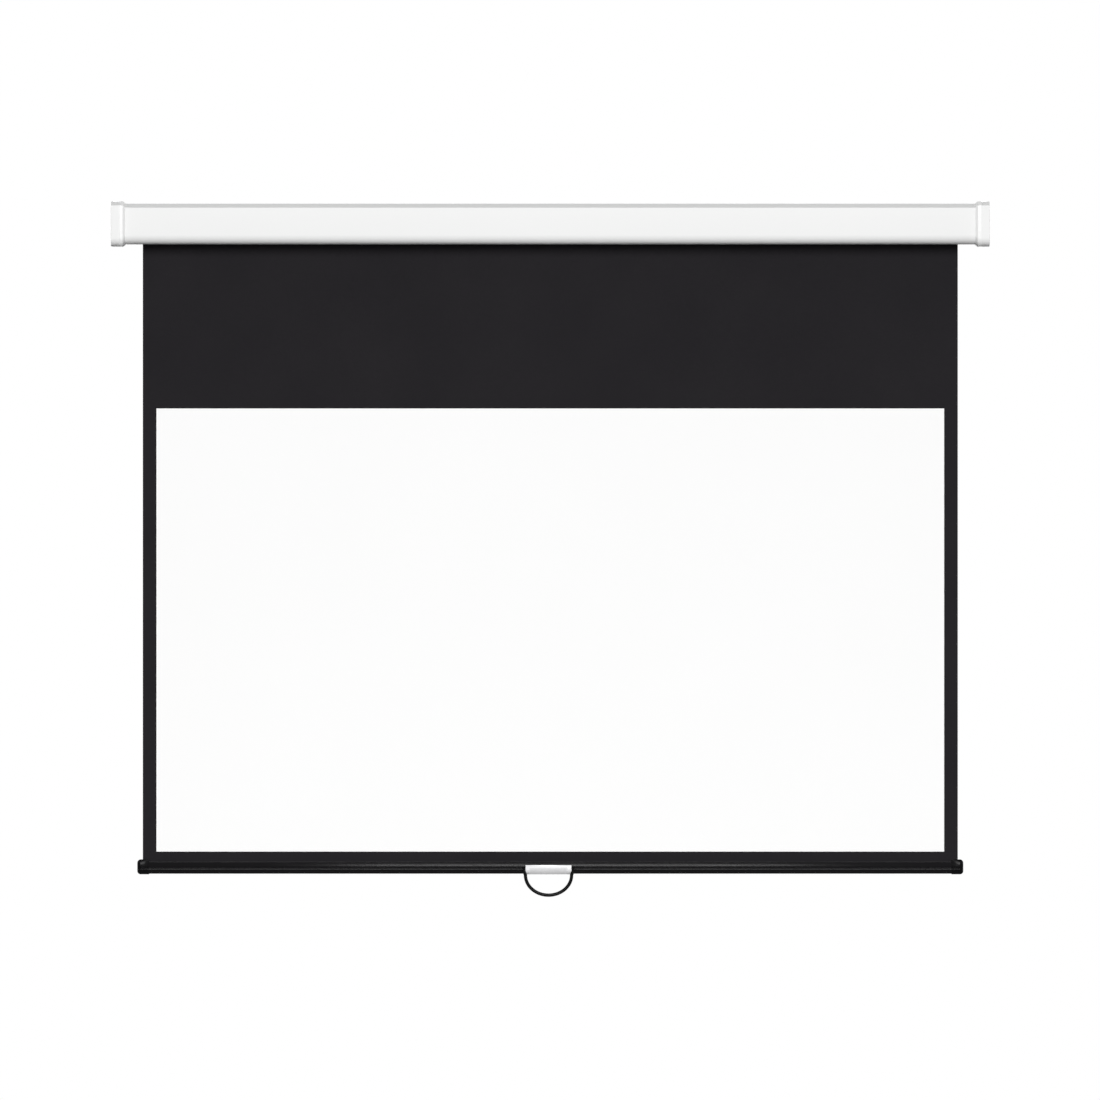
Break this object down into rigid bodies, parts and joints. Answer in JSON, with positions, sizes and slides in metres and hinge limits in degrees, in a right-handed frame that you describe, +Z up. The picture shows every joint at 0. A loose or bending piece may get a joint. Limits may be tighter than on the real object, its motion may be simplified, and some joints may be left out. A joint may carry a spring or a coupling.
{
  "type": "projection screen",
  "caption": "Pull-down projection screen: white case with end caps, black-bordered white fabric on a spring roller, bottom bar and bail handle, for a wall or ceiling.",
  "frame": {"origin": "on the wall plane, midway between the two wall keyholes, at the height of the hanging screws", "axes": "+X along the case to the viewer's right, +Y into the wall, +Z up"},
  "size_m": [1.7764, 0.0838, 1.4067],
  "materials": {
    "case_paint": "satin white powder coat",
    "cap_plastic": "fine moulded texture, white",
    "zinc_steel": "zinc plated",
    "bright_steel": "bright turned",
    "spring_steel": "oiled spring wire",
    "tube_aluminium": "mill finish",
    "grey_nylon": "moulded",
    "black_nylon": "moulded, slight gloss",
    "black_bar": "semi-gloss black coating",
    "black_fabric": "matt coated cloth, black",
    "white_fabric": "matt white projection surface",
    "handle_plastic": "moulded, white"
  },
  "bodies": {
    "case": {"case_shell": "case_paint", "left_end_cap": "cap_plastic", "right_end_cap": "cap_plastic", "left_end_bracket": "zinc_steel", "right_end_bracket": "zinc_steel", "left_cap_screw_upper": "bright_steel", "left_cap_screw_lower": "bright_steel", "right_cap_screw_upper": "bright_steel", "right_cap_screw_lower": "bright_steel", "gudgeon_pin": "bright_steel", "spring_shaft": "zinc_steel", "spring_anchor": "grey_nylon", "torsion_spring": "spring_steel", "ratchet_wheel": "bright_steel", "shaft_keeper": "bright_steel", "fabric_base": "black_fabric", "picture_surface": "white_fabric"},
    "roller": {"roller_tube": "tube_aluminium", "fabric_wrap": "black_fabric", "idle_plug": "grey_nylon", "idle_bush": "black_nylon", "spring_hub": "grey_nylon", "shaft_bush": "black_nylon", "upper_pawl_pin": "zinc_steel", "lower_pawl_pin": "zinc_steel", "lock_cover": "grey_nylon"},
    "upper_pawl": {"upper_pawl": "bright_steel"},
    "lower_pawl": {"lower_pawl": "bright_steel"},
    "bar": {"bottom_bar": "black_bar", "left_bar_cap": "black_nylon", "right_bar_cap": "black_nylon", "bottom_border": "black_fabric", "hem_rod": "zinc_steel", "handle_plate": "handle_plastic", "handle_screw_left": "zinc_steel", "handle_screw_right": "zinc_steel"},
    "bail": {"handle_bail": "black_nylon"}
  },
  "joints": [
    {"name": "screen_slide", "type": "slide", "parent": "case", "child": "bar", "axis": [0, 0, 1], "range_m": [0, 1.244], "deforming": ["fabric_base", "picture_surface"]},
    {"name": "roller_spin", "type": "hinge", "parent": "case", "child": "roller", "pos_m": [0, -0.039, -0.002], "axis": [1, 0, 0], "range_deg": [0, 3240], "deforming": ["torsion_spring"]},
    {"name": "bail_swing", "type": "hinge", "parent": "bar", "child": "bail", "pos_m": [-0.0036, -0.0316, -1.3112], "axis": [-1, 0, 0], "range_deg": [-12, 95]},
    {"name": "upper_pawl_drop", "type": "hinge", "parent": "roller", "child": "upper_pawl", "pos_m": [-0.8521, -0.04158, 0.01216], "axis": [-1, 0, 0], "range_deg": [0, 35]},
    {"name": "lower_pawl_drop", "type": "hinge", "parent": "roller", "child": "lower_pawl", "pos_m": [-0.8521, -0.03642, -0.01616], "axis": [-1, 0, 0], "range_deg": [0, 35]}
  ],
  "couplings": [
    {"joint": "roller_spin", "follows": "screen_slide", "rad_per_m": 45.457}
  ]
}
